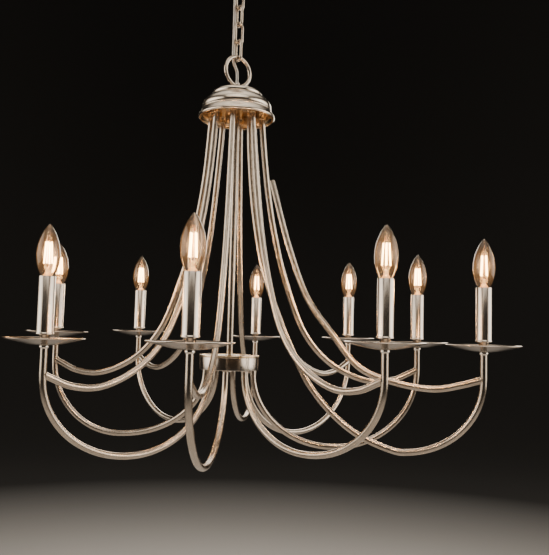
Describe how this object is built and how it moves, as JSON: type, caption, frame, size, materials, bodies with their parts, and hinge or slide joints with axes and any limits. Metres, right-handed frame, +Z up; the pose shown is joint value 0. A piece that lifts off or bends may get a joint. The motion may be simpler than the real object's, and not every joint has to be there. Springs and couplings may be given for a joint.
{
  "type": "multi arm chandelier",
  "caption": "Candle-style chandelier: bent metal tubes sweep from a domed canopy to U-shaped arms around a small drum, hung on a short chain.",
  "frame": {"origin": "middle of the bracket's upper face, where it meets the ceiling", "axes": "+Z up, towards the ceiling; the lamp hangs along -Z; +X to the right of a viewer who stands at -Y"},
  "size_m": [0.8672, 0.8913, 0.9388],
  "materials": {
    "satin_nickel": "satin nickel plate with fine lengthwise brushing",
    "bright_nickel": "bright nickel plate, faintly turned",
    "zinc_steel": "zinc plated steel",
    "bulb_glass": "clear glass, lit from inside",
    "silver_cord": "silver-grey sheathed flexible cord"
  },
  "bodies": {
    "bracket": {"ceiling_bracket": "zinc_steel", "power_cord": "silver_cord"},
    "rose": {"ceiling_rose": "bright_nickel"},
    "link_1": {"chain_link_1": "satin_nickel"},
    "link_2": {"chain_link_2": "satin_nickel"},
    "link_3": {"chain_link_3": "satin_nickel"},
    "link_4": {"chain_link_4": "satin_nickel"},
    "link_5": {"chain_link_5": "satin_nickel"},
    "ring": {"hanging_ring": "satin_nickel"},
    "lamp": {"ring_eye": "bright_nickel", "dome_canopy": "bright_nickel", "tube_plate": "zinc_steel", "centre_stem": "satin_nickel", "hub_lid": "satin_nickel", "hub_drum": "bright_nickel", "lower_arm_1": "satin_nickel", "upper_arm_1": "satin_nickel", "drip_dish_1": "satin_nickel", "candle_sleeve_1": "bright_nickel", "lower_arm_2": "satin_nickel", "upper_arm_2": "satin_nickel", "drip_dish_2": "satin_nickel", "candle_sleeve_2": "bright_nickel", "lower_arm_3": "satin_nickel", "upper_arm_3": "satin_nickel", "drip_dish_3": "satin_nickel", "candle_sleeve_3": "bright_nickel", "lower_arm_4": "satin_nickel", "upper_arm_4": "satin_nickel", "drip_dish_4": "satin_nickel", "candle_sleeve_4": "bright_nickel", "lower_arm_5": "satin_nickel", "upper_arm_5": "satin_nickel", "drip_dish_5": "satin_nickel", "candle_sleeve_5": "bright_nickel", "lower_arm_6": "satin_nickel", "upper_arm_6": "satin_nickel", "drip_dish_6": "satin_nickel", "candle_sleeve_6": "bright_nickel", "lower_arm_7": "satin_nickel", "upper_arm_7": "satin_nickel", "drip_dish_7": "satin_nickel", "candle_sleeve_7": "bright_nickel", "lower_arm_8": "satin_nickel", "upper_arm_8": "satin_nickel", "drip_dish_8": "satin_nickel", "candle_sleeve_8": "bright_nickel", "lower_arm_9": "satin_nickel", "upper_arm_9": "satin_nickel", "drip_dish_9": "satin_nickel", "candle_sleeve_9": "bright_nickel"},
    "bulb_1": {"bulb_1": "bulb_glass"},
    "bulb_2": {"bulb_2": "bulb_glass"},
    "bulb_3": {"bulb_3": "bulb_glass"},
    "bulb_4": {"bulb_4": "bulb_glass"},
    "bulb_5": {"bulb_5": "bulb_glass"},
    "bulb_6": {"bulb_6": "bulb_glass"},
    "bulb_7": {"bulb_7": "bulb_glass"},
    "bulb_8": {"bulb_8": "bulb_glass"},
    "bulb_9": {"bulb_9": "bulb_glass"}
  },
  "joints": [
    {"name": "rose_slide", "type": "slide", "parent": "bracket", "child": "rose", "axis": [0, 0, -1], "range_m": [0, 0.03]},
    {"name": "link_1_swing", "type": "hinge", "parent": "bracket", "child": "link_1", "pos_m": [0, 0, -0.0374], "axis": [0.809, 0.5878, 0], "range_deg": [-8, 8], "deforming": ["power_cord"]},
    {"name": "link_2_swing", "type": "hinge", "parent": "link_1", "child": "link_2", "pos_m": [0, 0, -0.0706], "axis": [-0.5878, 0.809, 0], "range_deg": [-8, 8]},
    {"name": "link_3_swing", "type": "hinge", "parent": "link_2", "child": "link_3", "pos_m": [0, 0, -0.1043], "axis": [0.809, 0.5878, 0], "range_deg": [-12, 12]},
    {"name": "link_4_swing", "type": "hinge", "parent": "link_3", "child": "link_4", "pos_m": [0, 0, -0.138], "axis": [-0.5878, 0.809, 0], "range_deg": [-12, 12]},
    {"name": "link_5_swing", "type": "hinge", "parent": "link_4", "child": "link_5", "pos_m": [0, 0, -0.1717], "axis": [0.809, 0.5878, 0], "range_deg": [-12, 12]},
    {"name": "ring_swing", "type": "hinge", "parent": "link_5", "child": "ring", "pos_m": [0, 0, -0.2054], "axis": [-0.5878, 0.809, 0], "range_deg": [-15, 15]},
    {"name": "lamp_swing", "type": "hinge", "parent": "ring", "child": "lamp", "pos_m": [0, 0, -0.2551], "axis": [0.809, 0.5878, 0], "range_deg": [-15, 15]},
    {"name": "bulb_1_thread", "type": "hinge", "parent": "lamp", "child": "bulb_1", "pos_m": [0.36643, 0.05804, -0.64], "axis": [0, 0, 1], "range_deg": [0, 1080]},
    {"name": "bulb_2_thread", "type": "hinge", "parent": "lamp", "child": "bulb_2", "pos_m": [0.26666, 0.28596, -0.638], "axis": [0, 0, 1], "range_deg": [0, 1080]},
    {"name": "bulb_3_thread", "type": "hinge", "parent": "lamp", "child": "bulb_3", "pos_m": [0.05853, 0.39165, -0.641], "axis": [0, 0, 1], "range_deg": [0, 1080]},
    {"name": "bulb_4_thread", "type": "hinge", "parent": "lamp", "child": "bulb_4", "pos_m": [-0.21078, 0.32457, -0.634], "axis": [0, 0, 1], "range_deg": [0, 1080]},
    {"name": "bulb_5_thread", "type": "hinge", "parent": "lamp", "child": "bulb_5", "pos_m": [-0.34001, 0.0911, -0.636], "axis": [0, 0, 1], "range_deg": [0, 1080]},
    {"name": "bulb_6_thread", "type": "hinge", "parent": "lamp", "child": "bulb_6", "pos_m": [-0.27547, -0.23946, -0.642], "axis": [0, 0, 1], "range_deg": [0, 1080]},
    {"name": "bulb_7_thread", "type": "hinge", "parent": "lamp", "child": "bulb_7", "pos_m": [-0.04999, -0.37972, -0.639], "axis": [0, 0, 1], "range_deg": [0, 1080]},
    {"name": "bulb_8_thread", "type": "hinge", "parent": "lamp", "child": "bulb_8", "pos_m": [0.22628, -0.30029, -0.635], "axis": [0, 0, 1], "range_deg": [0, 1080]},
    {"name": "bulb_9_thread", "type": "hinge", "parent": "lamp", "child": "bulb_9", "pos_m": [0.40805, -0.19902, -0.638], "axis": [0, 0, 1], "range_deg": [0, 1080]}
  ]
}
